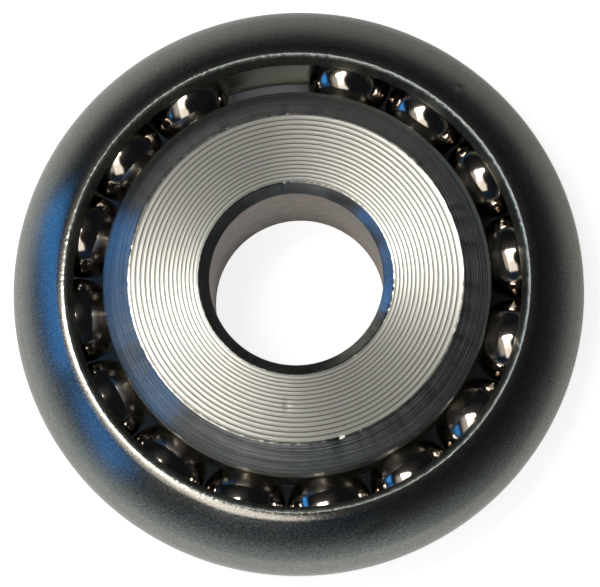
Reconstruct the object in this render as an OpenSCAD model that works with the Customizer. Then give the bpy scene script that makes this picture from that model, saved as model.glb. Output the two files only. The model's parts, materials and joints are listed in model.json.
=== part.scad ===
// Full-complement ball bearing with a crowned outer ring, as used for small track rollers.
// Millimetres. The axis of the bearing is Z, and the ball circle lies in the plane z = 0.

/* [Outer ring] */
// Diameter over the crown of the outer ring
outer_d = 31.75; // [26:0.05:40]
// Radius of the round crown, seen in section
crown_r = 3.45; // [3:0.05:4]
// Wall between the crown and the bottom of the outer raceway
crown_wall = 1.16; // [0.8:0.01:2]
// How far the upper corner of a lip lies outside the ball circle
lip_open = 0.355; // [0.3:0.005:0.75]
// How far the foot of a lip's slanted end face lies outside the ball circle
lip_foot = 0.04; // [0:0.005:0.25]
// Width of the flat that breaks the sheared corner of a lip
lip_break = 0.12; // [0.05:0.01:0.2]

/* [Balls and raceways] */
// Diameter of one ball
ball_d = 4.7625; // [3.9:0.0125:5.6]
// Play between one ball and the next
ball_play = 0.074; // [0.002:0.002:0.1]
// Angle of the free gap in the row of balls, clockwise from the +Y side
gap_a = 0.8; // [-30:0.1:30]
// Play between a ball and the bottom of each raceway
race_play = 0.02; // [0.01:0.005:0.06]
// How much larger the radius of a raceway is than the radius of a ball
race_relief = 0.0715; // [0.05:0.0005:0.12]

/* [Inner ring] */
// Diameter of the bore
bore_d = 9.525; // [7:0.025:12]
// Width of the inner ring, face to face
inner_w = 8.73; // [7.2:0.01:11]
// How far the lands beside the raceway lie inside the ball circle
land_drop = 1.645; // [1.15:0.005:1.95]
// Width of the outside chamfer, from the land in to the turned face
chamfer_w = 1.45; // [0.6:0.05:2]
// Drop of the outside chamfer, from the face down to the land
chamfer_drop = 1; // [0.5:0.05:1.2]
// Width of the chamfer round the bore, measured on the face
bore_chamfer_w = 0.56; // [0.2:0.02:0.8]
// Depth of the chamfer round the bore
bore_chamfer_h = 0.35; // [0.2:0.05:0.6]

/* [Turned faces] */
// Feed of the turning tool beside the bore, from one groove to the next
feed_in = 0.205; // [0.15:0.005:0.3]
// Feed of the turning tool at the outer edge of the face
feed_out = 0.29; // [0.2:0.005:0.4]
// Radius of the turning tool's nose
nose_r = 0.34; // [0.25:0.01:0.6]
// Width of the flat left between two grooves
groove_land = 0.03; // [0.02:0.005:0.06]
// Width of the plain rim between the grooves and each edge of the face
face_rim = 0.12; // [0.05:0.01:0.4]

/* [Hidden] */
$fn = 180;
satin_steel = [0.62, 0.63, 0.64];
turned_steel = [0.72, 0.72, 0.72];
polished_steel = [0.5, 0.49, 0.47];

// Ball circle, inside the wall of the outer ring, and the raceways on both sides of it
outer_r = outer_d / 2;
ball_r = ball_d / 2;
pitch_r = outer_r - crown_wall - race_play - ball_r;
race_r = ball_r + race_relief;
outer_race_mid = pitch_r - race_relief + race_play;
inner_race_mid = pitch_r + race_relief - race_play;

// A full complement: as many balls as the circle holds
ball_step_a = 2 * asin((ball_r + ball_play / 2) / pitch_r);
ball_count = floor(360 / ball_step_a);

// Outer ring: the crown is one arc, and both lips end on it
crown_mid = outer_r - crown_r;
lip_r = pitch_r + lip_open;
lip_foot_r = pitch_r + lip_foot;
lip_top_r = lip_r + lip_break;
lip_top_z = height_on(crown_mid, crown_r, lip_top_r);
lip_z = lip_top_z - lip_break / 2;
lip_foot_z = height_on(outer_race_mid, race_r, lip_foot_r);

// Inner ring
half_w = inner_w / 2;
bore_r = bore_d / 2;
bore_mouth_r = bore_r + bore_chamfer_w;
land_r = pitch_r - land_drop;
land_z = half_w - chamfer_drop;
face_r = land_r - chamfer_w;

// Grooves left by the turning tool, whose feed grows from the bore outwards
groove_from = bore_mouth_r + face_rim;
groove_band = face_r - face_rim - groove_from;
groove_count = round(2 * groove_band / (feed_in + feed_out));

// Height above the ball plane of an arc round (mid, 0), at radius r from the axis
function height_on(mid, arc_r, r) = sqrt(arc_r * arc_r - (r - mid) * (r - mid));

// Outline whose upper half is given, closed by its mirror image below the ball plane
function both_sides(half) = concat(half, [for (i = [len(half) - 1:-1:0]) [half[i][0], -half[i][1]]]);

// Radius of the edge between groove k and the one before it
function groove_edge(k) =
    let (
        travel = k * feed_in + k * k * (feed_out - feed_in) / (2 * groove_count),
        full_travel = groove_count * (feed_in + feed_out) / 2
    )
    groove_from + groove_band * travel / full_travel;

function ball_name(i) = str("ball_", i < 10 ? "0" : "", i);

// Opening through the outer ring, with the slanted lips at both ends
module lip_opening() {
    polygon(both_sides([
        [0, outer_r],
        [lip_top_r, outer_r],
        [lip_top_r, lip_top_z],
        [lip_r, lip_z],
        [lip_foot_r, lip_foot_z]
    ]));
}

module outer_ring() {
    color(satin_steel)
        rotate_extrude()
            difference() {
                translate([crown_mid, 0])
                    circle(crown_r);
                lip_opening();
                translate([outer_race_mid, 0])
                    circle(race_r);
            }
}

// Turned grooves of the upper face, in section
module face_grooves() {
    for (k = [0:groove_count - 1]) {
        middle = (groove_edge(k) + groove_edge(k + 1)) / 2;
        half_groove = (groove_edge(k + 1) - groove_edge(k) - groove_land) / 2;
        translate([middle, half_w + height_on(0, nose_r, half_groove)])
            circle(nose_r);
    }
}

module inner_ring() {
    color(turned_steel)
        rotate_extrude()
            difference() {
                polygon(both_sides([
                    [land_r, land_z],
                    [face_r, half_w],
                    [bore_mouth_r, half_w],
                    [bore_r, half_w - bore_chamfer_h]
                ]));
                face_grooves();
                mirror([0, 1])
                    face_grooves();
                translate([inner_race_mid, 0])
                    circle(race_r);
            }
}

// Ball number i, counted clockwise from the free gap
module ball(i) {
    color(polished_steel)
        rotate(180 - gap_a - (i - (ball_count + 1) / 2) * ball_step_a)
            translate([0, pitch_r, 0])
                sphere(ball_r);
}

outer_ring();
inner_ring();
for (i = [1:ball_count]) ball(i);
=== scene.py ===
"""Looks of a full-complement ball bearing: crowned outer ring, turned inner ring, polished balls."""

import json
import math

import bpy
import numpy as np
from bpy.props import FloatProperty, FloatVectorProperty, PointerProperty
from bpy.types import Operator, Panel, PropertyGroup
from mathutils import Matrix, Vector


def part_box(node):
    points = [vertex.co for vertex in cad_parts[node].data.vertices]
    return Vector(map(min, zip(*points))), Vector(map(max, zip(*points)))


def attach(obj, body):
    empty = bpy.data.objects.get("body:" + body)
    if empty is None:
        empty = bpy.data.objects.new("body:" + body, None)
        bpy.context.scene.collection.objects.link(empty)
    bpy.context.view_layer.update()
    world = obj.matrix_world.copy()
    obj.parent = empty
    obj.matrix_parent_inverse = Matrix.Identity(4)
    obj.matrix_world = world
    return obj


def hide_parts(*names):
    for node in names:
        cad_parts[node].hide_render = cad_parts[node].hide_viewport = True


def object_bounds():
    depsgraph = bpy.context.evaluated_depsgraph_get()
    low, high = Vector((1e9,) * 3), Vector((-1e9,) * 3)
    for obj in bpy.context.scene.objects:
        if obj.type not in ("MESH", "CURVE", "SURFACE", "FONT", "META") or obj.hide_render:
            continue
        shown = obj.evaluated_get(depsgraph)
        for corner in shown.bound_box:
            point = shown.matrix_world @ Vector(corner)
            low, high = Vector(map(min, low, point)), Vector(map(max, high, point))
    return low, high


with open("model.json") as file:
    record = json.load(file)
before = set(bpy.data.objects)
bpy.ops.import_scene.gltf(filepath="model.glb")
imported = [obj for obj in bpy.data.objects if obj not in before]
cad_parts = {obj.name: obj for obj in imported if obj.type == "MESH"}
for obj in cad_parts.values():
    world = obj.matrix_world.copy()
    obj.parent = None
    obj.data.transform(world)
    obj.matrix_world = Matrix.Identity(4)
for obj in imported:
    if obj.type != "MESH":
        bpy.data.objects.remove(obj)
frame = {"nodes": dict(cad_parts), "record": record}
CAD_LOW, CAD_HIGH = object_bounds()

bl_info = {
    "name": "Ball bearing looks",
    "version": (1, 0, 0),
    "blender": (4, 5, 0),
    "location": "3D View > Sidebar > Bearing",
    "description": "Dresses a crowned full-complement ball bearing and sets up its studio",
    "category": "Object",
}

MM = 0.001
EDGES = "groove_edges"

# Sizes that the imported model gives
BALL_NODES = sorted(name for name in frame["nodes"] if name.startswith("ball_"))
BORE_MOUNT = next(m for m in frame["record"]["mounts"] if m["name"] == "bore")
OUTER_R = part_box("outer_ring")[1].x
HALF_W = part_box("inner_ring")[1].z
BORE_R = BORE_MOUNT["dims"]["r_mm"] * MM
FLOOR_Z = CAD_LOW.z


def ball_place(node):
    """Centre and radius of a ball: the middle of its box, and half of the box's height."""
    low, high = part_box(node)
    return (low + high) / 2, (high.z - low.z) / 2


BALL_R = ball_place(BALL_NODES[0])[1]
PITCH_R = float(np.mean([ball_place(n)[0].xy.length for n in BALL_NODES]))
# The free gap in the row of balls lies opposite the middle of the row
ROW_MIDDLE = np.mean([ball_place(n)[0].xy for n in BALL_NODES], axis=0)
GAP_PLACE = (*(-ROW_MIDDLE / np.linalg.norm(ROW_MIDDLE) * PITCH_R), 0.0)


def length_property(name, description, metres):
    """A property that is a length."""
    return FloatProperty(name=name, description=description, default=metres, unit="LENGTH")


def angle_property(name, description, degrees):
    """A property that is an angle."""
    return FloatProperty(name=name, description=description, default=math.radians(degrees), subtype="ANGLE")


def number_property(name, description, value):
    """A property that is a plain number."""
    return FloatProperty(name=name, description=description, default=value)


def colour_property(name, description, value):
    """A property that is a colour."""
    return FloatVectorProperty(name=name, description=description, default=value, subtype="COLOR")


class BearingSizes(PropertyGroup):
    """Sizes of the rings' sections."""

    crown_radius: length_property(
        "Crown radius", "Radius of the outer ring's round outside, in section", 2.4 * MM)
    crown_lean: angle_property(
        "Crown lean", "How far the surface faces away from the axis where crown and shoulder meet", 46)
    brow_lean: angle_property(
        "Brow lean", "How far the surface faces away from the axis where shoulder and lip meet", 33)
    brow_radius: length_property(
        "Brow radius", "Radius of the lip's rounded brow, in section", 1.5 * MM)
    lip_lean: angle_property(
        "Lip lean", "How far the brow faces away from the axis at the lip's corner", 12)
    lip_open: length_property(
        "Lip opening", "How far a lip's upper corner lies outside the ball circle", 0.355 * MM)
    lip_foot: length_property(
        "Lip foot", "How far the foot of a lip's end face lies outside the ball circle", 0.04 * MM)
    lip_break: length_property(
        "Lip break", "Radius of the broken edge at a lip's sheared corner", 0.16 * MM)
    break_lean: angle_property(
        "Break lean", "How far the broken edge faces away from the axis at its end", -50)
    lip_rag: length_property(
        "Lip raggedness", "How rough the sheared corner of a lip is", 0.02 * MM)
    race_radius: length_property(
        "Raceway radius", "Radius of both raceways, in section", BALL_R + 0.0715 * MM)
    race_play: length_property(
        "Raceway play", "Play between a ball and the bottom of a raceway", 0.02 * MM)
    land_drop: length_property(
        "Land drop", "How far the inner ring's lands lie inside the ball circle", 1.645 * MM)
    chamfer_width: length_property(
        "Chamfer width", "Width of the inner ring's outside chamfer", 1.45 * MM)
    chamfer_drop: length_property(
        "Chamfer drop", "Drop of the inner ring's outside chamfer", 1.25 * MM)
    bore_chamfer_width: length_property(
        "Bore chamfer width", "Width of the chamfer round the bore", 0.56 * MM)
    bore_chamfer_depth: length_property(
        "Bore chamfer depth", "Depth of the chamfer round the bore", 0.49 * MM)
    feed_in: length_property(
        "Feed at the bore", "Distance between turned grooves beside the bore", 0.205 * MM)
    feed_out: length_property(
        "Feed at the edge", "Distance between turned grooves at the face's outer edge", 0.29 * MM)
    nose_radius: length_property(
        "Tool nose radius", "Radius of the tool that turned the grooves", 0.34 * MM)
    groove_land: length_property(
        "Groove land", "Width of the flat left between two grooves", 0.03 * MM)
    face_rim: length_property(
        "Face rim", "Width of the plain rim at each edge of a turned face", 0.12 * MM)
    rim_rag: length_property(
        "Rim raggedness", "How rough the edges of a turned face are", 0.008 * MM)
    edge_ease: length_property(
        "Edge ease", "How far the rings' sharp edges are rounded off", 0.035 * MM)


class BearingFinish(PropertyGroup):
    """Colours of the steel surfaces."""

    crown_colour: colour_property("Crown", "Satin steel of the outer ring", (0.395, 0.415, 0.39))
    brow_colour: colour_property(
        "Brow", "Rounded brow of the outer ring's lips", (0.60, 0.59, 0.56))
    lip_colour: colour_property(
        "Lip", "Sheared corner of the outer ring's lips", (0.47, 0.53, 0.52))
    race_colour: colour_property("Raceways", "Ground raceways", (0.68, 0.73, 0.67))
    face_colour: colour_property("Face", "Turned faces of the inner ring", (0.72, 0.74, 0.71))
    chamfer_colour: colour_property(
        "Chamfers", "Turned chamfers and lands of the inner ring", (0.52, 0.53, 0.52))
    bore_colour: colour_property("Bore", "Wall of the bore", (0.48, 0.42, 0.38))
    ball_colour: colour_property("Balls", "Polished bearing steel", (0.56, 0.51, 0.46))


class BearingStage(PropertyGroup):
    """Camera, room and floor."""

    frame_width_px: number_property("Frame width", "Width of the picture, in pixels", 600.0)
    ring_width_px: number_property(
        "Ring width", "Width of the bearing in the picture, in pixels", 570.5)
    shift_right_px: number_property(
        "Shift right", "How far the bearing's centre lies right of the picture's middle", -1.66)
    shift_up_px: number_property(
        "Shift up", "How far the bearing's centre lies above the picture's middle", 1.98)
    camera_distance: length_property(
        "Camera distance", "From the ball circle's centre to the camera", 225.4 * MM)
    camera_tilt: angle_property(
        "Camera tilt", "Angle between the view and the bearing's axis", 10.17)
    camera_roll: angle_property("Camera roll", "Turn of the camera about its view", 9.21)
    softbox_colour: colour_property("Softbox", "Colour of the main lamp", (1.0, 0.94, 0.85))
    softbox_brightness: number_property("Softbox brightness", "How bright the main lamp is", 2.8)
    hot_brightness: number_property(
        "Hot end brightness", "How bright the upper end of the main lamp is", 19.0)
    spill_brightness: number_property(
        "Spill brightness", "How bright the soft edge of the main lamp is", 0.6)
    ceiling_brightness: number_property(
        "Ceiling brightness", "How bright the ceiling round the lamp is", 0.028)
    window_brightness: number_property("Window brightness", "How bright the blue windows are", 1.2)
    sky_colour: colour_property("Blue window", "Colour of the windows", (0.06, 0.37, 1.0))
    room_colour: colour_property("Room", "Dim light from overhead", (0.009, 0.011, 0.014))
    wall_colour: colour_property(
        "Walls", "Light from the walls, near the floor", (0.52, 0.55, 0.545))
    floor_colour: colour_property("Floor", "Pale floor", (0.5, 0.5, 0.49))
    floor_white: number_property("Floor white", "How bright the floor looks by itself", 0.86)
    gap_light: number_property(
        "Gap light", "Light on the floor under the free gap in the row of balls", 0.05)
    floor_mirrored: number_property(
        "Floor mirrored", "How bright the floor looks in polished metal", 0.46)


# Profiles in section: arrays of (radius, height) points


def arc(mid, radius, start, stop, count):
    """Points on a circle round (mid, 0): mid + radius cos t, radius sin t.

    t goes from start to stop, in radians.
    """
    t = np.linspace(start, stop, count)
    return np.column_stack([mid + radius * np.cos(t), radius * np.sin(t)])


def bend(start, radius, lean_from, lean_to, count):
    """An arc that carries on from start: radius (sin t - sin t0, cos t - cos t0), added to it.

    t is how far the surface faces away from the axis, from lean_from at the start to lean_to at the end.
    """
    t = np.linspace(lean_from, lean_to, count)[:, None]
    turn = np.hstack([np.sin(t) - math.sin(lean_from), np.cos(t) - math.cos(lean_from)])
    return np.asarray(start) + radius * turn


def eased(corners, ease, rounding=4):
    """A line through corners, with a parabola in place of each inner corner.

    It starts at p and ends at q, at the distance ease before and after the corner c. With c as its control
    point it is (1-t)^2 p + 2t(1-t) c + t^2 q. One more point stands before p and after q, as far again.
    """
    corners = np.asarray(corners, float)
    before = corners[1:-1] - corners[:-2]
    after = corners[2:] - corners[1:-1]
    before /= np.linalg.norm(before, axis=1)[:, None]
    after /= np.linalg.norm(after, axis=1)[:, None]
    t = np.linspace(0, 1, rounding)[None, :, None]
    c = corners[1:-1, None, :]
    p = c - ease * before[:, None, :]
    q = c + ease * after[:, None, :]
    curve = (1 - t) ** 2 * p + 2 * t * (1 - t) * c + t**2 * q
    support = np.concatenate([p - ease * before[:, None, :], curve, q + ease * after[:, None, :]], axis=1)
    return np.concatenate([corners[:1], support.reshape(-1, 2), corners[-1:]])


def mirrored(points):
    """The same stretch below the ball plane, in reverse order."""
    return points[::-1] * np.array([1.0, -1.0])


def turned_face(sizes, start, stop, per_groove):
    """Face with round-nosed tool grooves, from radius start to stop.

    Groove k lies between two edges whose spacing grows from feed_in to feed_out. Inside it the height is
    half_w + h - sqrt(nose^2 - (r - middle)^2), where h makes the groove meet the flat lands at its edges.
    """
    band = stop - start
    count = round(2 * band / (sizes.feed_in + sizes.feed_out))
    k = np.arange(count + 1)
    travel = k * sizes.feed_in + k * k * (sizes.feed_out - sizes.feed_in) / (2 * count)
    edges = start + band * travel / travel[-1]
    middle = (edges[1:] + edges[:-1]) / 2
    half = (edges[1:] - edges[:-1] - sizes.groove_land) / 2
    across = np.linspace(-1, 1, per_groove)
    r = middle[:, None] + half[:, None] * across
    rise = np.sqrt(sizes.nose_radius**2 - half**2)
    z = HALF_W + rise[:, None] - np.sqrt(sizes.nose_radius**2 - (half[:, None] * across) ** 2)
    return np.column_stack([r.ravel(), z.ravel()])


def groove_edges(points, per_groove):
    """1 at both edges of every groove of a turned face, and 0 inside it, for the face's points: where the
    face's colour is painted in shade.
    """
    place_in_groove = np.arange(len(points)) % per_groove
    return np.isin(place_in_groove, (0, per_groove - 1)).astype(float)


# Surfaces


def ripple(turns, low, high, seed):
    """A closed wave round the ring, of unit spread.

    It adds up cosines of low, low + 1 and so on to high - 1 waves per turn, with seeded phases.
    """
    random = np.random.default_rng(seed)
    waves = np.arange(low, high)
    phase = random.uniform(0, 2 * math.pi, len(waves))
    angle = 2 * math.pi * np.arange(turns) / turns
    return np.cos(np.outer(angle, waves) + phase).sum(axis=1) * math.sqrt(2 / len(waves))


def hump(distance, width):
    """A smooth bump of height 1: e to the power of minus the square of distance over width."""
    return np.exp(-((distance / width) ** 2))


def wear(r, z, angle, dents):
    """How deep small dents on the upper side go: the sum of their humps, each times its depth.

    A dent is (radius, azimuth in degrees, width to and from the axis, width round it, depth).
    """
    depth = np.zeros(np.broadcast(r, angle).shape)
    for at_r, at_angle, wide, long, deep in dents:
        round_it = np.radians((angle - at_angle + 180) % 360 - 180) * at_r
        depth += deep * hump(r - at_r, wide) * hump(round_it, long)
    return depth * (z > 0)


def make_mesh(name, points, faces, finish=None, materials=()):
    """A new object from points and lists of faces with equal corner counts, smooth and facing outwards."""
    corners = np.concatenate([f.ravel() for f in faces])
    totals = np.concatenate([np.full(len(f), f.shape[1]) for f in faces])
    mesh = bpy.data.meshes.new(name)
    mesh.vertices.add(len(points))
    mesh.vertices.foreach_set("co", points.astype(np.float32).ravel())
    mesh.loops.add(len(corners))
    mesh.loops.foreach_set("vertex_index", corners.astype(np.int32))
    mesh.polygons.add(len(totals))
    mesh.polygons.foreach_set("loop_start", np.concatenate([[0], np.cumsum(totals)[:-1]]).astype(np.int32))
    for material in materials:
        mesh.materials.append(material)
    if finish is not None:
        mesh.polygons.foreach_set("material_index", finish.astype(np.int32))
    mesh.update(calc_edges=True)
    mesh.shade_smooth()
    if mesh.validate():
        raise RuntimeError(f"{name}: the mesh had faults")
    piece = bpy.data.objects.new(name, mesh)
    bpy.context.scene.collection.objects.link(piece)
    return piece


def lathe(name, stretches, turns, materials, shift=None, edges=None):
    """A closed section carried round the Z axis: x = r sin a, y = r cos a, z, with a clockwise from +Y.

    stretches are (finish, points) that follow each other round the section, anticlockwise with r to the
    right. shift takes the grid's radius, height and angle arrays and returns what to add to radius and
    height. edges, one value per point of the section, is kept on the mesh as the attribute EDGES.
    """
    profile = np.concatenate([points for _, points in stretches])
    finish = np.concatenate([np.full(len(points), number) for number, points in stretches])
    angle = 2 * math.pi * np.arange(turns) / turns
    r = np.repeat(profile[:, :1], turns, axis=1)
    z = np.repeat(profile[:, 1:], turns, axis=1)
    if shift:
        add_r, add_z = shift(r, z, np.degrees(angle)[None, :])
        r, z = r + add_r, z + add_z
    points = np.stack([r * np.sin(angle), r * np.cos(angle), z], axis=-1).reshape(-1, 3)
    i, j = np.meshgrid(np.arange(len(profile)), np.arange(turns), indexing="ij")
    down = (i + 1) % len(profile)
    on = (j + 1) % turns
    quads = np.stack([i * turns + j, down * turns + j, down * turns + on, i * turns + on], axis=-1)
    piece = make_mesh(name, points, [quads.reshape(-1, 4)[:, ::-1]], np.repeat(finish, turns), materials)
    if edges is not None:
        kept = piece.data.attributes.new(EDGES, "FLOAT", "POINT")
        kept.data.foreach_set("value", np.repeat(edges, turns).astype(np.float32))
    return piece


def sphere(name, centre, radius, rings, turns, materials):
    """A ball: centre + radius (sin t cos a, sin t sin a, cos t), with one point at each pole."""
    t = math.pi * np.arange(1, rings) / rings
    a = 2 * math.pi * np.arange(turns) / turns
    belt = np.stack(
        [np.outer(np.sin(t), np.cos(a)), np.outer(np.sin(t), np.sin(a)),
         np.outer(np.cos(t), np.ones(turns))], axis=-1).reshape(-1, 3)
    points = np.concatenate([belt, [[0, 0, 1], [0, 0, -1]]]) * radius + np.array(centre)
    i, j = np.meshgrid(np.arange(rings - 2), np.arange(turns), indexing="ij")
    on = (j + 1) % turns
    quads = np.stack([i * turns + j, (i + 1) * turns + j, (i + 1) * turns + on, i * turns + on], axis=-1)
    first = np.arange(turns)
    following = (first + 1) % turns
    last_ring = (rings - 2) * turns
    north = np.column_stack([np.full(turns, len(belt)), first, following])
    south = np.column_stack([np.full(turns, len(belt) + 1), last_ring + following, last_ring + first])
    return make_mesh(name, points, [quads.reshape(-1, 4), north, south], None, materials)


# Materials

# Sockets of a Mix node: its factor, and its two ends and its result for numbers and for colours
MIX_FACTOR = 0
NUMBER_LOW, NUMBER_HIGH, NUMBER_RESULT = 2, 3, 0
COLOUR_LOW, COLOUR_HIGH, COLOUR_RESULT = 6, 7, 2

# Vector operations that give a number
NUMBER_OPERATIONS = "LENGTH", "DISTANCE", "DOT_PRODUCT"

# Values of noise that become 0 and 1
MARK_RANGE = 0.3, 0.7
CLOUD_RANGE = 0.35, 0.68
SPECKLE_RANGE = 0.32, 0.68

# Turn of the stretched reflections, so that they lie across the tool's lines
QUARTER_TURN = 0.25

# Colour of a lip's end face, as a share of the raceways' colour
LIP_END_SHARE = 0.52


def place(tree, kind, inputs=None, **settings):
    """Adds a node, sets its settings, and fills its inputs with values or with links from other sockets."""
    added = tree.nodes.new(kind)
    for key, value in settings.items():
        setattr(added, key, value)
    for key, value in (inputs or {}).items():
        if isinstance(value, bpy.types.NodeSocket):
            tree.links.new(value, added.inputs[key])
        else:
            added.inputs[key].default_value = value
    return added


def maths(tree, operation, first, second=0.0):
    """Output of a Math node."""
    return place(tree, "ShaderNodeMath", {0: first, 1: second}, operation=operation).outputs[0]


def vectors(tree, operation, first, second=(0, 0, 0)):
    """Output of a Vector Math node: a vector, or a number for a length, distance or dot product."""
    added = place(tree, "ShaderNodeVectorMath", {0: first, 1: second}, operation=operation)
    return added.outputs["Value" if operation in NUMBER_OPERATIONS else "Vector"]


def scaled(tree, vector, factor):
    """A vector times a number."""
    return place(tree, "ShaderNodeVectorMath", {0: vector, "Scale": factor}, operation="SCALE").outputs[0]


def flat_part(tree, vector):
    """A vector without its height."""
    return vectors(tree, "MULTIPLY", vector, (1, 1, 0))


def along_axis(tree, vector, axis):
    """One of a vector's three numbers: X, Y or Z."""
    return place(tree, "ShaderNodeSeparateXYZ", {0: vector}).outputs[axis]


def object_place(tree):
    """Where a point lies on the object."""
    return place(tree, "ShaderNodeTexCoord").outputs["Object"]


def ramp(tree, value, start, stop, low=0.0, high=1.0, step="LINEAR"):
    """Output of a Map Range node: low at start and before it, high at stop and after it."""
    ends = {"Value": value, "From Min": start, "From Max": stop, "To Min": low, "To Max": high}
    return place(tree, "ShaderNodeMapRange", ends, interpolation_type=step).outputs[0]


def mix_numbers(tree, factor, low, high):
    """Output of a Mix node that goes from low to high."""
    ends = {MIX_FACTOR: factor, NUMBER_LOW: low, NUMBER_HIGH: high}
    return place(tree, "ShaderNodeMix", ends).outputs[NUMBER_RESULT]


def mix_colours(tree, factor, low, high, blend="MIX"):
    """Output of a Mix node that goes from low to high, or blends them in another way."""
    ends = {MIX_FACTOR: factor, COLOUR_LOW: low, COLOUR_HIGH: high}
    return place(tree, "ShaderNodeMix", ends, data_type="RGBA", blend_type=blend).outputs[COLOUR_RESULT]


def new_group(name, numbers, outputs):
    """An empty shader node group with number inputs and number outputs."""
    group = bpy.data.node_groups.new(name, "ShaderNodeTree")
    for label, value in numbers.items():
        socket = group.interface.new_socket(label, in_out="INPUT", socket_type="NodeSocketFloat")
        socket.default_value = value
    for label in outputs:
        group.interface.new_socket(label, in_out="OUTPUT", socket_type="NodeSocketFloat")
    return group, place(group, "NodeGroupInput"), place(group, "NodeGroupOutput")


def turning_marks_group():
    """Lines that a tool leaves round the axis: noise on a cylinder, long round it and short across it."""
    group, given, result = new_group("turning_marks", {"Around": 4.0, "Across": 12000.0, "Detail": 3.0},
                                     ["Height"])
    place_of = object_place(group)
    flat = flat_part(group, place_of)
    radius = vectors(group, "LENGTH", flat)
    outward = vectors(group, "NORMALIZE", flat)
    round_it = scaled(group, outward, given.outputs["Around"])
    across = maths(group, "SUBTRACT", radius, maths(group, "ABSOLUTE", along_axis(group, place_of, "Z")))
    across = maths(group, "MULTIPLY", across, given.outputs["Across"])
    lift = place(group, "ShaderNodeCombineXYZ", {"Z": across}).outputs[0]
    where = vectors(group, "ADD", round_it, lift)
    noise = place(group, "ShaderNodeTexNoise",
                  {"Vector": where, "Scale": 1.0, "Detail": given.outputs["Detail"], "Roughness": 0.6})
    group.links.new(ramp(group, noise.outputs["Fac"], *MARK_RANGE), result.inputs["Height"])
    return group


def steel_grain_group():
    """Fine grain of worked steel: small noise for height and speckles, and larger clouds for a mask."""
    group, given, result = new_group("steel_grain", {"Grain": 9000.0, "Cloud": 600.0},
                                     ["Height", "Mask", "Speckle"])
    place_of = object_place(group)
    fine = place(group, "ShaderNodeTexNoise",
                 {"Vector": place_of, "Scale": given.outputs["Grain"], "Detail": 2.0, "Roughness": 0.55})
    cloud = place(group, "ShaderNodeTexNoise",
                  {"Vector": place_of, "Scale": given.outputs["Cloud"], "Detail": 4.0, "Roughness": 0.6})
    group.links.new(fine.outputs["Fac"], result.inputs["Height"])
    group.links.new(ramp(group, cloud.outputs["Fac"], *CLOUD_RANGE), result.inputs["Mask"])
    group.links.new(ramp(group, fine.outputs["Fac"], *SPECKLE_RANGE), result.inputs["Speckle"])
    return group


def shared_group(name, build):
    """The node group of that name, built once."""
    return bpy.data.node_groups.get(name) or build()


def with_group(tree, name, build, **numbers):
    """Places a shared group in a material with its own values."""
    return place(tree, "ShaderNodeGroup", {key.title(): value for key, value in numbers.items()},
                 node_tree=shared_group(name, build))


def marks(tree, **numbers):
    """Turning marks in this material."""
    return with_group(tree, "turning_marks", turning_marks_group, **numbers).outputs["Height"]


def grain(tree, **numbers):
    """Steel grain in this material: its height, its mask and its speckles."""
    added = with_group(tree, "steel_grain", steel_grain_group, **numbers)
    return added.outputs["Height"], added.outputs["Mask"], added.outputs["Speckle"]


def steel(name):
    """A new metal material, its node tree and its shader."""
    material = bpy.data.materials.new(name)
    material.use_nodes = True
    tree = material.node_tree
    tree.nodes.clear()
    shader = place(tree, "ShaderNodeBsdfPrincipled", {"Metallic": 1.0})
    place(tree, "ShaderNodeOutputMaterial", {"Surface": shader.outputs[0]})
    return material, tree, shader


def finish_steel(tree, shader, colour, dark, mask, rough, height, depth):
    """Fills a metal shader.

    mask leads from the colour times dark to the colour itself, and from the first to the second roughness.
    height makes bumps of that depth.
    """
    low = (*[c * dark for c in colour], 1.0)
    tree.links.new(mix_colours(tree, mask, low, (*colour, 1.0)), shader.inputs["Base Color"])
    tree.links.new(mix_numbers(tree, mask, *rough), shader.inputs["Roughness"])
    bump = place(tree, "ShaderNodeBump", {"Height": height, "Strength": 1.0, "Distance": depth})
    tree.links.new(bump.outputs[0], shader.inputs["Normal"])


def turned(tree, shader, stretch):
    """Stretches reflections across the tool's lines, which run round the bearing's axis."""
    along = vectors(tree, "CROSS_PRODUCT", (0, 0, 1), object_place(tree))
    along = place(tree, "ShaderNodeVectorTransform", {0: along}, vector_type="VECTOR",
                  convert_from="OBJECT", convert_to="WORLD").outputs[0]
    tree.links.new(along, shader.inputs["Tangent"])
    shader.inputs["Anisotropic"].default_value = stretch
    shader.inputs["Anisotropic Rotation"].default_value = QUARTER_TURN


def crown_steel(name, colour):
    """Satin, fine-grained steel of the outer ring."""
    material, tree, shader = steel(name)
    height, _, speckle = grain(tree, grain=9500.0, cloud=500.0)
    finish_steel(tree, shader, colour, dark=0.64, mask=speckle, rough=(0.18, 0.23),
                 height=height, depth=0.0035 * MM)
    turned(tree, shader, stretch=0.6)
    return material


def lip_steel(finish):
    """Rough sheared corner of a lip."""
    material, tree, shader = steel("lip_steel")
    height, mask, _ = grain(tree, grain=11000.0, cloud=4000.0)
    finish_steel(tree, shader, finish.lip_colour, dark=0.6, mask=mask, rough=(0.4, 0.5),
                 height=height, depth=0.03 * MM)
    return material


def lip_end_steel(finish):
    """Dark, rough end face under the lip's corner."""
    material, tree, shader = steel("lip_end_steel")
    height, mask, _ = grain(tree, grain=6000.0, cloud=3000.0)
    colour = [c * LIP_END_SHARE for c in finish.race_colour]
    finish_steel(tree, shader, colour, dark=0.6, mask=mask, rough=(0.4, 0.55),
                 height=height, depth=0.012 * MM)
    return material


def race_steel(finish):
    """Ground raceway with fine lines round it."""
    material, tree, shader = steel("race_steel")
    lines = marks(tree, around=5.0, across=9000.0)
    finish_steel(tree, shader, finish.race_colour, dark=0.8, mask=lines, rough=(0.5, 0.58),
                 height=lines, depth=0.002 * MM)
    return material


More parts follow.
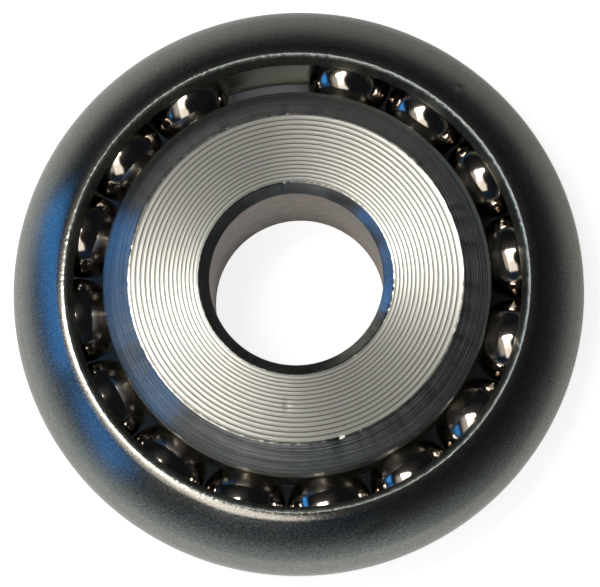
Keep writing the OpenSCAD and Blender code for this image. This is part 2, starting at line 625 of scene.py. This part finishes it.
def face_steel(finish):
    """Turned face: its grooves are in the mesh, and the tool's fine lines run along them.

    The lines spread light to and from the axis, and the edges of the grooves are painted dark, as painted
    shade on their steep sides.
    """
    material, tree, shader = steel("face_steel")
    # Painted shade: the colour is darkened at the edges of every groove
    edge = place(tree, "ShaderNodeAttribute", attribute_name=EDGES).outputs["Fac"]
    unshaded_groove = maths(tree, "SUBTRACT", 1.0, edge)
    lines = marks(tree, around=50.0, across=14000.0)
    finish_steel(tree, shader, finish.face_colour, dark=0.3, mask=unshaded_groove, rough=(0.48, 0.40),
                 height=lines, depth=0.0012 * MM)
    turned(tree, shader, stretch=0.84)
    return material


def chamfer_steel(finish):
    """Finely turned chamfers."""
    material, tree, shader = steel("chamfer_steel")
    lines = marks(tree, around=1.2, across=7000.0)
    finish_steel(tree, shader, finish.chamfer_colour, dark=0.5, mask=lines, rough=(0.2, 0.26),
                 height=lines, depth=0.006 * MM)
    turned(tree, shader, stretch=0.8)
    return material


def land_steel(finish):
    """Plainly turned lands beside the raceway."""
    material, tree, shader = steel("land_steel")
    lines = marks(tree, around=3.0, across=7000.0)
    finish_steel(tree, shader, finish.chamfer_colour, dark=0.65, mask=lines, rough=(0.4, 0.46),
                 height=lines, depth=0.001 * MM)
    turned(tree, shader, stretch=0.8)
    return material


def bore_steel(finish):
    """Reamed wall of the bore."""
    material, tree, shader = steel("bore_steel")
    height, mask, _ = grain(tree, grain=3500.0, cloud=1500.0)
    finish_steel(tree, shader, finish.bore_colour, dark=0.5, mask=mask, rough=(0.35, 0.5),
                 height=height, depth=0.01 * MM)
    return material


def ball_steel(finish):
    """Mirror-polished bearing steel with faint clouds."""
    material, tree, shader = steel("ball_steel")
    height, mask, _ = grain(tree, grain=2500.0, cloud=900.0)
    finish_steel(tree, shader, finish.ball_colour, dark=0.92, mask=mask, rough=(0.09, 0.13),
                 height=height, depth=0.0002 * MM)
    return material


# Pieces


class BEARING_OT_outer_ring(Operator):
    """Make the crowned outer ring with its ragged lips and raceway"""

    bl_idname = "bearing.outer_ring"
    bl_label = "Outer ring"

    CROWN, BROW, LIP, LIP_END, RACE = range(5)

    # Steps round the ring, and points along each stretch of its section
    TURNS = 900
    CROWN_POINTS, SHOULDER_POINTS, BROW_POINTS = 24, 12, 9
    EDGE_POINTS, END_POINTS, RACE_POINTS = 6, 7, 18

    # The ragged lips: waves per turn, and the seeds for their radius and height
    RAG_WAVES = 60, 420
    RAG_SEEDS = 11, 12

    # Dents: radius, azimuth, width to and from the axis, width round it, depth
    DENTS = (
        (14.18 * MM, 48.3, 0.2 * MM, 0.15 * MM, 0.03 * MM),
        (14.12 * MM, 174.0, 0.2 * MM, 0.3 * MM, 0.012 * MM),
        (14.02 * MM, 172.3, 0.2 * MM, 0.3 * MM, 0.015 * MM),
        (13.9 * MM, 170.4, 0.2 * MM, 0.3 * MM, 0.012 * MM))

    def section(self, sizes):
        """The crown's arc, then on each side a flatter shoulder and a lip, and the raceway.

        A lip has a rounded brow, a broken edge at its corner and a slanted end face.
        """
        race_mid = PITCH_R + BALL_R + sizes.race_play - sizes.race_radius
        foot_r = PITCH_R + sizes.lip_foot
        corner_r = PITCH_R + sizes.lip_open
        foot_t = math.acos((foot_r - race_mid) / sizes.race_radius)
        at_crown, at_brow, at_lip, at_end = np.sin(
            [sizes.crown_lean, sizes.brow_lean, sizes.lip_lean, sizes.break_lean])
        half_crown = math.pi / 2 - sizes.crown_lean
        crown = arc(OUTER_R - sizes.crown_radius, sizes.crown_radius, -half_crown, half_crown,
                    self.CROWN_POINTS)
        brow_r = corner_r + sizes.lip_break * (at_lip - at_end) + sizes.brow_radius * (at_brow - at_lip)
        shoulder_radius = (crown[-1, 0] - brow_r) / (at_crown - at_brow)
        shoulder = bend(crown[-1], shoulder_radius, sizes.crown_lean, sizes.brow_lean,
                        self.SHOULDER_POINTS)[1:]
        brow = bend(shoulder[-1], sizes.brow_radius, sizes.brow_lean, sizes.lip_lean, self.BROW_POINTS)[1:]
        edge = bend(brow[-1], sizes.lip_break, sizes.lip_lean, sizes.break_lean, self.EDGE_POINTS)[1:]
        foot = np.array([foot_r, sizes.race_radius * math.sin(foot_t)])
        lip_end = np.linspace(edge[-1], foot, self.END_POINTS)[1:-1]
        race = arc(race_mid, sizes.race_radius, foot_t, -foot_t, self.RACE_POINTS)
        brow, lip = brow[:-1], np.concatenate([brow[-1:], edge])
        return [
            (self.CROWN, mirrored(shoulder)), (self.CROWN, crown), (self.CROWN, shoulder),
            (self.BROW, brow), (self.LIP, lip), (self.LIP_END, lip_end), (self.RACE, race[:-1]),
            (self.LIP_END, mirrored(lip_end)), (self.LIP, mirrored(lip)), (self.BROW, mirrored(brow))]

    def execute(self, context):
        sizes = context.scene.bearing_sizes
        finish = context.scene.bearing_finish
        section = self.section(sizes)
        lip_r, lip_z = next(points[-1] for number, points in section if number == self.LIP)
        rag_r, rag_z = (
            ripple(self.TURNS, *self.RAG_WAVES, seed) * sizes.lip_rag for seed in self.RAG_SEEDS)

        def ragged_lip(r, z, angle):
            near = hump(np.hypot(r - lip_r, np.abs(z) - lip_z), sizes.lip_break)
            down = near * np.abs(rag_z)[None, :] * np.sign(z) + wear(r, z, angle, self.DENTS)
            return near * rag_r[None, :], -down

        materials = [
            crown_steel("crown_steel", finish.crown_colour), crown_steel("brow_steel", finish.brow_colour),
            lip_steel(finish), lip_end_steel(finish), race_steel(finish)]
        piece = lathe("crowned_outer_ring", section, self.TURNS, materials, ragged_lip)
        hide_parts("outer_ring")
        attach(piece, "roller")
        return {"FINISHED"}


class BEARING_OT_inner_ring(Operator):
    """Make the inner ring with its turned faces, chamfers, bore and raceway"""

    bl_idname = "bearing.inner_ring"
    bl_label = "Inner ring"

    FACE, CHAMFER, BORE, RACE, LAND = range(5)

    # Steps round the ring, and points across a groove, along the raceway and at the bore's end of a chamfer
    TURNS = 350
    PER_GROOVE = 7
    RACE_POINTS = 20
    BORE_POINTS = 4

    # The rough rims of the faces: waves per turn, and the seed
    RAG_WAVES = 30, 170
    RAG_SEED = 13

    # Dents: radius, azimuth, width to and from the axis, width round it, depth
    DENTS = (
        (9.2 * MM, 174.5, 0.12 * MM, 0.16 * MM, 0.06 * MM),
        (7.1 * MM, 193.0, 0.35 * MM, 0.08 * MM, 0.012 * MM),
        (9.63 * MM, 233.2, 0.15 * MM, 0.15 * MM, 0.05 * MM))

    def section(self, sizes):
        """From the raceway over the land, chamfer and face to the bore, and the same mirrored."""
        race_mid = PITCH_R - BALL_R - sizes.race_play + sizes.race_radius
        land_r = PITCH_R - sizes.land_drop
        face_r = land_r - sizes.chamfer_width
        mouth_r = BORE_R + sizes.bore_chamfer_width
        race_t = math.acos((race_mid - land_r) / sizes.race_radius)
        race_z = sizes.race_radius * math.sin(race_t)
        land_z = HALF_W - sizes.chamfer_drop
        bore_z = HALF_W - sizes.bore_chamfer_depth
        face_from, face_to = mouth_r + sizes.face_rim, face_r - sizes.face_rim
        race = arc(race_mid, sizes.race_radius, math.pi + race_t, math.pi - race_t, self.RACE_POINTS)
        outside = eased([(land_r, race_z), (land_r, land_z), (face_r, HALF_W), (face_to, HALF_W)],
                        sizes.edge_ease)[1:-1]
        face = turned_face(sizes, face_from, face_to, self.PER_GROOVE)[::-1]
        inside = eased([(face_from, HALF_W), (mouth_r, HALF_W), (BORE_R, bore_z), (BORE_R, 0.0)],
                       sizes.edge_ease)[1:-1]
        below = mirrored(inside)
        return [
            (self.RACE, race[:-1]), (self.LAND, race[-1:]), (self.CHAMFER, outside), (self.FACE, face),
            (self.CHAMFER, inside[:-self.BORE_POINTS]), (self.BORE, inside[-self.BORE_POINTS:]),
            (self.BORE, below[:self.BORE_POINTS]), (self.CHAMFER, below[self.BORE_POINTS:]),
            (self.FACE, mirrored(face)), (self.CHAMFER, mirrored(outside))]

    def execute(self, context):
        sizes = context.scene.bearing_sizes
        finish = context.scene.bearing_finish
        materials = [face_steel(finish), chamfer_steel(finish), bore_steel(finish), race_steel(finish),
                     land_steel(finish)]
        section = self.section(sizes)
        edges = [groove_edges(points, self.PER_GROOVE) if number == self.FACE else np.zeros(len(points))
                 for number, points in section]
        rims = PITCH_R - sizes.land_drop - sizes.chamfer_width, BORE_R + sizes.bore_chamfer_width
        rag = ripple(self.TURNS, *self.RAG_WAVES, self.RAG_SEED) * sizes.rim_rag

        def worn(r, z, angle):
            near = sum(hump(np.hypot(r - rim, np.abs(z) - HALF_W), 2 * sizes.edge_ease) for rim in rims)
            down = near * np.abs(rag)[None, :] * np.sign(z) + wear(r, z, angle, self.DENTS)
            return near * rag[None, :], -down

        piece = lathe("turned_inner_ring", section, self.TURNS, materials, worn, np.concatenate(edges))
        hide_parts("inner_ring")
        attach(piece, "hub")
        return {"FINISHED"}


class BEARING_OT_balls(Operator):
    """Make the row of polished balls"""

    bl_idname = "bearing.balls"
    bl_label = "Balls"

    RINGS, TURNS = 48, 96

    def execute(self, context):
        material = ball_steel(context.scene.bearing_finish)
        for node in BALL_NODES:
            centre, radius = ball_place(node)
            piece = sphere(f"polished_{node}", centre, radius, self.RINGS, self.TURNS, [material])
            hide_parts(node)
            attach(piece, "ball_set")
        return {"FINISHED"}


# Stage

BLACK, WHITE = (0, 0, 0, 1), (1, 1, 1, 1)

# The room is dim towards one azimuth, in degrees: light falls to DIM_SHARE between two places along it
DIM_AZIMUTH = 70
DIM_FROM, DIM_TO = -0.4, 0.9
DIM_SHARE = 0.18

# On the floor, whose glow in steel is painted lighter on the bright side, those places are measured with
# this length, and in the sky with 1
FLOOR_REACH = 35 * MM
SKY_REACH = 1.0

# Distances from the axis over which the shade under the gap between the rings begins and ends
SHADE_BEGINS = 9.2 * MM, 10.2 * MM
SHADE_ENDS = 12.8 * MM, 15.2 * MM

# Distances over which the floor's glow in steel is painted dimmer, as painted shade, and to what share:
# from the axis, and behind it
BORE_FADE, BORE_SHARE = (2.8 * MM, 4.9 * MM), 0.25
BACK_FADE, BACK_SHARE = (15 * MM, 90 * MM), 0.25

# Distances from the free gap over which the light under it fades
GAP_FADE = 1.0 * MM, 2.6 * MM


def level_heading(azimuth):
    """Unit vector towards an azimuth in degrees, clockwise from +Y."""
    a = math.radians(azimuth)
    return Vector((math.sin(a), math.cos(a), 0.0))


def on_sky(tree, direction):
    """A flat map of the sky in radians: the angle from the zenith, laid off towards the azimuth."""
    polar = maths(tree, "ARCCOSINE", along_axis(tree, direction, "Z"))
    return scaled(tree, vectors(tree, "NORMALIZE", flat_part(tree, direction)), polar)


def fade(tree, value, start, stop):
    """A smooth step from 1 at start to 0 at stop."""
    return ramp(tree, value, start, stop, 1.0, 0.0, "SMOOTHSTEP")


def sky_panel(tree, sky, middle, half, soft):
    """1 inside an oblong of the sky map, fading over its edge; all in degrees."""
    half, soft = np.radians(half), math.radians(soft)
    away = vectors(tree, "SUBTRACT", sky, (*np.radians(middle), 0.0))
    away = vectors(tree, "ABSOLUTE", away)
    across = fade(tree, along_axis(tree, away, "X"), half[0] - soft, half[0] + soft)
    along = fade(tree, along_axis(tree, away, "Y"), half[1] - soft, half[1] + soft)
    return maths(tree, "MULTIPLY", across, along)


def sky_disc(tree, sky, middle, radius, soft):
    """1 inside a disc of the sky map, fading over its edge; all in degrees."""
    away = vectors(tree, "DISTANCE", sky, (*np.radians(middle), 0.0))
    return fade(tree, away, math.radians(radius - soft), math.radians(radius + soft))


def bright_side(tree, place_of, reach):
    """1 on the bright side of the room, and DIM_SHARE on the dim side: light in the sky, painted light in
    the floor's glow.
    """
    along = vectors(tree, "DOT_PRODUCT", place_of, level_heading(DIM_AZIMUTH))
    return ramp(tree, along, DIM_FROM * reach, DIM_TO * reach, 1.0, DIM_SHARE, "SMOOTHSTEP")


def floor_material(stage):
    """Pale floor that keeps the shadow, with deep shade under the gap between the rings."""
    material = bpy.data.materials.new("pale_floor")
    material.use_nodes = True
    tree = material.node_tree
    tree.nodes.clear()
    place_of = object_place(tree)
    flat = flat_part(tree, place_of)
    radius = vectors(tree, "LENGTH", flat)
    begun, not_ended = ramp(tree, radius, *SHADE_BEGINS), ramp(tree, radius, *SHADE_ENDS[::-1])
    open_floor = maths(tree, "SUBTRACT", 1.0, maths(tree, "MULTIPLY", begun, not_ended))
    # Painted shade: the floor's glow in steel dims towards the bore wall and behind the bearing
    bore_wall_shade = ramp(tree, radius, *BORE_FADE, 1.0, BORE_SHARE)
    outside = ramp(tree, radius, *SHADE_ENDS)
    path = place(tree, "ShaderNodeLightPath")
    in_steel = maths(tree, "MAXIMUM", path.outputs["Is Glossy Ray"], path.outputs["Is Transmission Ray"])
    # Painted light: the floor's glow in steel is lighter on the room's bright side
    in_steel = maths(tree, "MULTIPLY", in_steel, bright_side(tree, place_of, FLOOR_REACH))
    in_steel = maths(tree, "MULTIPLY", in_steel, maths(tree, "MAXIMUM", bore_wall_shade, outside))
    back = ramp(tree, along_axis(tree, place_of, "Y"), *BACK_FADE, 1.0, BACK_SHARE)
    in_steel = maths(tree, "MULTIPLY", in_steel, back)
    glow = maths(tree, "ADD", maths(tree, "MULTIPLY", path.outputs["Is Camera Ray"], stage.floor_white),
                 maths(tree, "MULTIPLY", in_steel, stage.floor_mirrored))
    glow = maths(tree, "MULTIPLY", glow, open_floor)
    under_gap = fade(tree, vectors(tree, "DISTANCE", flat, GAP_PLACE), *GAP_FADE)
    glow = maths(tree, "ADD", glow, maths(tree, "MULTIPLY", under_gap, stage.gap_light))
    shine = place(tree, "ShaderNodeEmission", {"Color": WHITE, "Strength": glow})
    matt = place(tree, "ShaderNodeBsdfDiffuse", {"Color": (*stage.floor_colour, 1.0)})
    both = place(tree, "ShaderNodeAddShader", {0: shine.outputs[0], 1: matt.outputs[0]})
    place(tree, "ShaderNodeOutputMaterial", {"Surface": both.outputs[0]})
    return material


class BEARING_OT_stage(Operator):
    """Make the floor, the lit room and the camera"""

    bl_idname = "bearing.stage"
    bl_label = "Stage"

    FLOOR_RADIUS = 3.0
    FLOOR_SIDES = 64
    SENSOR_WIDTH = 36.0
    CLIP_START, CLIP_END = 0.01, 20.0

    # Oblongs of the sky map: middle, half size and softness of the edge, in degrees
    SOFTBOX = (-18.0, -17.5), (12.0, 29.5), 2.0
    HOT_END = (-18.0, 8.5), (12.0, 3.5), 2.0
    SPILL = (-36.0, -14.0), (9.0, 24.0), 7.0
    CEILING = (-12.0, 20.0), (28.0, 16.0), 12.0
    BACK_WINDOW = (-68.0, 26.0), (8.0, 28.0), 4.0
    FRONT_WINDOW = (-64.0, -22.0), (8.0, 15.0), 4.0
    FRONT_GLOW = (-28.0, -58.0), (36.0, 9.0), 8.0

    # The camera's dark lens, a disc of the sky map: middle, radius and softness of the edge, in degrees
    LENS = (13.0, -12.0), 26.0, 2.0

    # The softbox is dimmer below: where on the sky map its brightness falls, and to what share
    DIM_BELOW = math.radians(-13), math.radians(-24), 0.55

    # Brightness of the front window and of the glow in front, as shares of the back window's
    FRONT_SHARE, GLOW_SHARE = 0.7, 0.03

    # The walls are lit below the height WALL_TOP of a direction, and more so lower down, by a power.
    # Towards the back that height falls by WALL_TILT and WALL_DROP, and in front it rises by WALL_TILT
    WALL_TOP, WALL_POWER = 0.2, 1.3
    WALL_TILT, WALL_DROP = 0.11, 0.24

    def floor(self, stage):
        """A wide disc under the bearing."""
        a = 2 * math.pi * np.arange(self.FLOOR_SIDES) / self.FLOOR_SIDES
        rim = np.column_stack([np.cos(a), np.sin(a), np.zeros_like(a)]) * self.FLOOR_RADIUS
        points = rim + np.array([0, 0, FLOOR_Z])
        face = np.arange(self.FLOOR_SIDES)[None, :]
        disc = make_mesh("floor", points, [face], None, [floor_material(stage)])

    def walls(self, tree, direction, stage):
        """Colour of the dim room and of its walls, in every direction."""
        back = along_axis(tree, direction, "Y")
        tilt = maths(tree, "MULTIPLY", back, self.WALL_TILT)
        drop = maths(tree, "MULTIPLY", maths(tree, "MAXIMUM", back, 0.0), self.WALL_DROP)
        rise = maths(tree, "ADD", along_axis(tree, direction, "Z"), maths(tree, "ADD", tilt, drop))
        wall = maths(tree, "POWER", ramp(tree, rise, self.WALL_TOP, 0.0), self.WALL_POWER)
        wall = maths(tree, "MULTIPLY", wall, bright_side(tree, direction, SKY_REACH))
        return mix_colours(tree, wall, (*stage.room_colour, 1.0), (*stage.wall_colour, 1.0))

    def lamps(self, tree, sky, stage):
        """What shines from the sky map: mask, colour and brightness of each lamp and window."""
        unshaded = maths(tree, "SUBTRACT", 1.0, sky_disc(tree, sky, *self.LENS))
        full_from, dim_from, dim_share = self.DIM_BELOW
        dimmed = ramp(tree, along_axis(tree, sky, "Y"), dim_from, full_from, dim_share, 1.0, "SMOOTHSTEP")
        softbox = maths(tree, "MULTIPLY", sky_panel(tree, sky, *self.SOFTBOX), unshaded)
        softbox = maths(tree, "MULTIPLY", softbox, dimmed)
        hot_end = maths(tree, "MULTIPLY", sky_panel(tree, sky, *self.HOT_END), unshaded)
        warm, blue = stage.softbox_colour, stage.sky_colour
        front_brightness = self.FRONT_SHARE * stage.window_brightness
        glow_brightness = self.GLOW_SHARE * stage.window_brightness
        return [
            (softbox, warm, stage.softbox_brightness),
            (hot_end, warm, stage.hot_brightness),
            (sky_panel(tree, sky, *self.SPILL), warm, stage.spill_brightness),
            (sky_panel(tree, sky, *self.CEILING), warm, stage.ceiling_brightness),
            (sky_panel(tree, sky, *self.BACK_WINDOW), blue, stage.window_brightness),
            (sky_panel(tree, sky, *self.FRONT_WINDOW), blue, front_brightness),
            (sky_panel(tree, sky, *self.FRONT_GLOW), blue, glow_brightness)]

    def room(self, stage):
        """The world: walls and lamps, and plain white where the camera itself looks past the floor."""
        world = bpy.data.worlds.new("studio_room")
        world.use_nodes = True
        tree = world.node_tree
        direction = place(tree, "ShaderNodeTexCoord").outputs["Generated"]
        colour = self.walls(tree, direction, stage)
        for mask, tint, brightness in self.lamps(tree, on_sky(tree, direction), stage):
            glow = (*[c * brightness for c in tint], 1.0)
            light = mix_colours(tree, mask, BLACK, glow)
            colour = mix_colours(tree, 1.0, colour, light, "ADD")
        seen = place(tree, "ShaderNodeLightPath").outputs["Is Camera Ray"]
        colour = mix_colours(tree, seen, colour, WHITE)
        tree.links.new(colour, tree.nodes["Background"].inputs["Color"])
        bpy.context.scene.world = world

    def camera(self, stage):
        """The camera, whose lens and place follow from the bearing's width and place in the picture."""
        scale = 2 * OUTER_R / stage.ring_width_px
        tilt, roll = stage.camera_tilt, stage.camera_roll
        back = Vector((0, -math.sin(tilt), math.cos(tilt)))
        side, rise = Vector((1, 0, 0)), Vector((0, math.cos(tilt), math.sin(tilt)))
        right = side * math.cos(roll) - rise * math.sin(roll)
        up = side * math.sin(roll) + rise * math.cos(roll)
        data = bpy.data.cameras.new("photo_camera")
        data.sensor_width = self.SENSOR_WIDTH
        data.lens = self.SENSOR_WIDTH * stage.camera_distance / (stage.frame_width_px * scale)
        data.clip_start, data.clip_end = self.CLIP_START, self.CLIP_END
        added = bpy.data.objects.new("photo_camera", data)
        shift = (right * stage.shift_right_px + up * stage.shift_up_px) * scale
        centre = back * stage.camera_distance - shift
        added.matrix_world = Matrix.Translation(centre) @ Matrix((right, up, back)).transposed().to_4x4()
        bpy.context.scene.collection.objects.link(added)
        bpy.context.scene.camera = added

    def execute(self, context):
        stage = context.scene.bearing_stage
        self.floor(stage)
        self.room(stage)
        self.camera(stage)
        context.scene.view_settings.view_transform = "Standard"
        return {"FINISHED"}


class BEARING_PT_panel(Panel):
    """Sidebar panel with the bearing's pieces, sizes and colours"""

    bl_idname = "BEARING_PT_panel"
    bl_label = "Ball bearing"
    bl_space_type = "VIEW_3D"
    bl_region_type = "UI"
    bl_category = "Bearing"

    def draw(self, context):
        for operator in OPERATORS:
            self.layout.operator(operator.bl_idname)
        scene = context.scene
        for group in (scene.bearing_sizes, scene.bearing_finish, scene.bearing_stage):
            for name in group.bl_rna.properties.keys():
                if name not in ("rna_type", "name"):
                    self.layout.prop(group, name)


OPERATORS = (BEARING_OT_outer_ring, BEARING_OT_inner_ring, BEARING_OT_balls, BEARING_OT_stage)
GROUPS = (BearingSizes, BearingFinish, BearingStage)


def register():
    for added in (*GROUPS, *OPERATORS, BEARING_PT_panel):
        bpy.utils.register_class(added)
    bpy.types.Scene.bearing_sizes = PointerProperty(type=BearingSizes)
    bpy.types.Scene.bearing_finish = PointerProperty(type=BearingFinish)
    bpy.types.Scene.bearing_stage = PointerProperty(type=BearingStage)


def unregister():
    del bpy.types.Scene.bearing_stage
    del bpy.types.Scene.bearing_finish
    del bpy.types.Scene.bearing_sizes
    for added in reversed((*GROUPS, *OPERATORS, BEARING_PT_panel)):
        bpy.utils.unregister_class(added)


def main():
    register()
    bpy.ops.bearing.outer_ring()
    bpy.ops.bearing.inner_ring()
    bpy.ops.bearing.balls()
    bpy.ops.bearing.stage()


if __name__ == "__main__":
    main()
